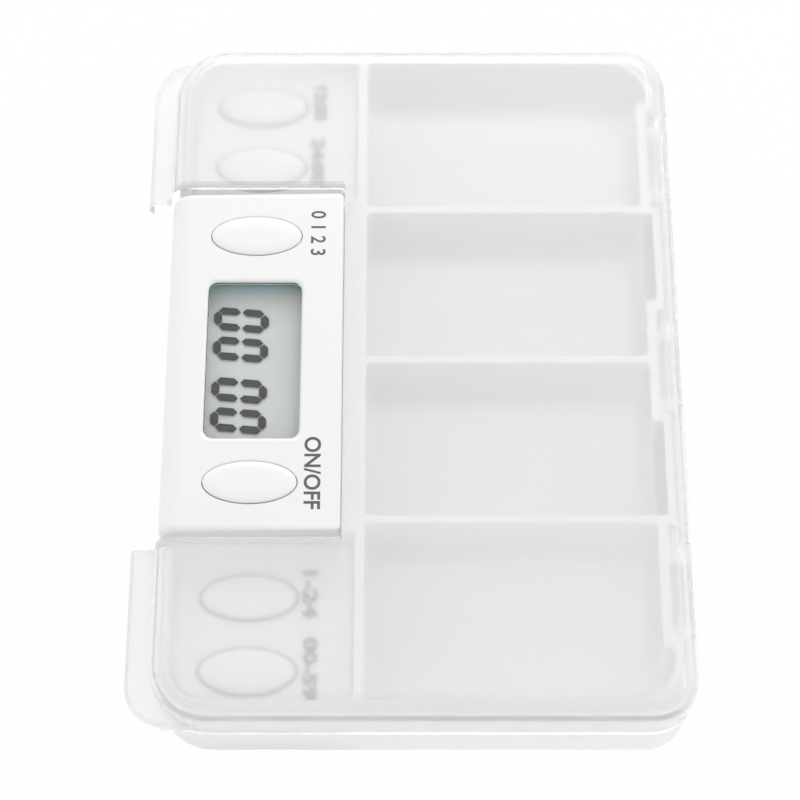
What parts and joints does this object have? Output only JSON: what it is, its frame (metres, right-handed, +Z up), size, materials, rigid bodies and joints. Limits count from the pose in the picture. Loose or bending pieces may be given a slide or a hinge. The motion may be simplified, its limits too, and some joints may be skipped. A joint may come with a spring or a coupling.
{
  "type": "pill box with timer",
  "caption": "Flat translucent pill box with compartments, a hinged clear lid with finger lips, and a white timer with display and oval buttons set in its front edge.",
  "frame": {"origin": "middle of the tray's flat underside, at the box's overall bottom centre", "axes": "+X along the box's length, +Y towards the hinge, -Y towards the timer and the finger lips, +Z up"},
  "size_m": [0.117, 0.0865, 0.021],
  "materials": {
    "tray": "translucent natural plastic, satin",
    "lid": "clear plastic with a lightly frosted top",
    "housing": "white, glossy",
    "button": "white, glossy",
    "window": "clear, polished",
    "display": "grey-green liquid crystal display",
    "rubber": "black conductive rubber strip",
    "board": "green resin board",
    "switch": "black moulded switch",
    "chip": "black resin drop",
    "brass": "plain sheet",
    "steel": "nickel plated"
  },
  "bodies": {
    "base": {"compartment_tray": "tray", "timer_top_cover": "housing", "timer_bottom_cover": "housing", "battery_door": "housing", "memory_switch": "switch", "on_off_switch": "switch", "far_outer_switch": "switch", "far_inner_switch": "switch", "near_inner_switch": "switch", "near_outer_switch": "switch", "display_window": "window", "display_glass": "display", "display_connector_front": "rubber", "display_connector_back": "rubber", "circuit_board": "board", "chip": "chip", "buzzer": "brass", "button_cell_left": "steel", "button_cell_right": "steel", "contact_left": "steel", "contact_right": "steel", "contact_bridge": "steel", "housing_screw_1": "steel", "housing_screw_2": "steel", "housing_screw_3": "steel", "housing_screw_4": "steel"},
    "lid": {"lid": "lid"},
    "memory_key": {"memory_button": "button"},
    "on_off_key": {"on_off_button": "button"},
    "far_outer_key": {"far_outer_button": "button"},
    "far_inner_key": {"far_inner_button": "button"},
    "near_inner_key": {"near_inner_button": "button"},
    "near_outer_key": {"near_outer_button": "button"}
  },
  "joints": [
    {"name": "lid_hinge", "type": "hinge", "parent": "base", "child": "lid", "pos_m": [0, 0.0414, 0.0132], "axis": [-1, 0, 0], "range_deg": [0, 105]},
    {"name": "memory_press", "type": "slide", "parent": "base", "child": "memory_key", "axis": [0, 0, -1], "range_m": [0, 0.0006], "stiffness_N_per_m": 300},
    {"name": "on_off_press", "type": "slide", "parent": "base", "child": "on_off_key", "axis": [0, 0, -1], "range_m": [0, 0.0006], "stiffness_N_per_m": 300},
    {"name": "far_outer_press", "type": "slide", "parent": "base", "child": "far_outer_key", "axis": [0, 0, -1], "range_m": [0, 0.0006], "stiffness_N_per_m": 300},
    {"name": "far_inner_press", "type": "slide", "parent": "base", "child": "far_inner_key", "axis": [0, 0, -1], "range_m": [0, 0.0006], "stiffness_N_per_m": 300},
    {"name": "near_inner_press", "type": "slide", "parent": "base", "child": "near_inner_key", "axis": [0, 0, -1], "range_m": [0, 0.0006], "stiffness_N_per_m": 300},
    {"name": "near_outer_press", "type": "slide", "parent": "base", "child": "near_outer_key", "axis": [0, 0, -1], "range_m": [0, 0.0006], "stiffness_N_per_m": 300}
  ]
}
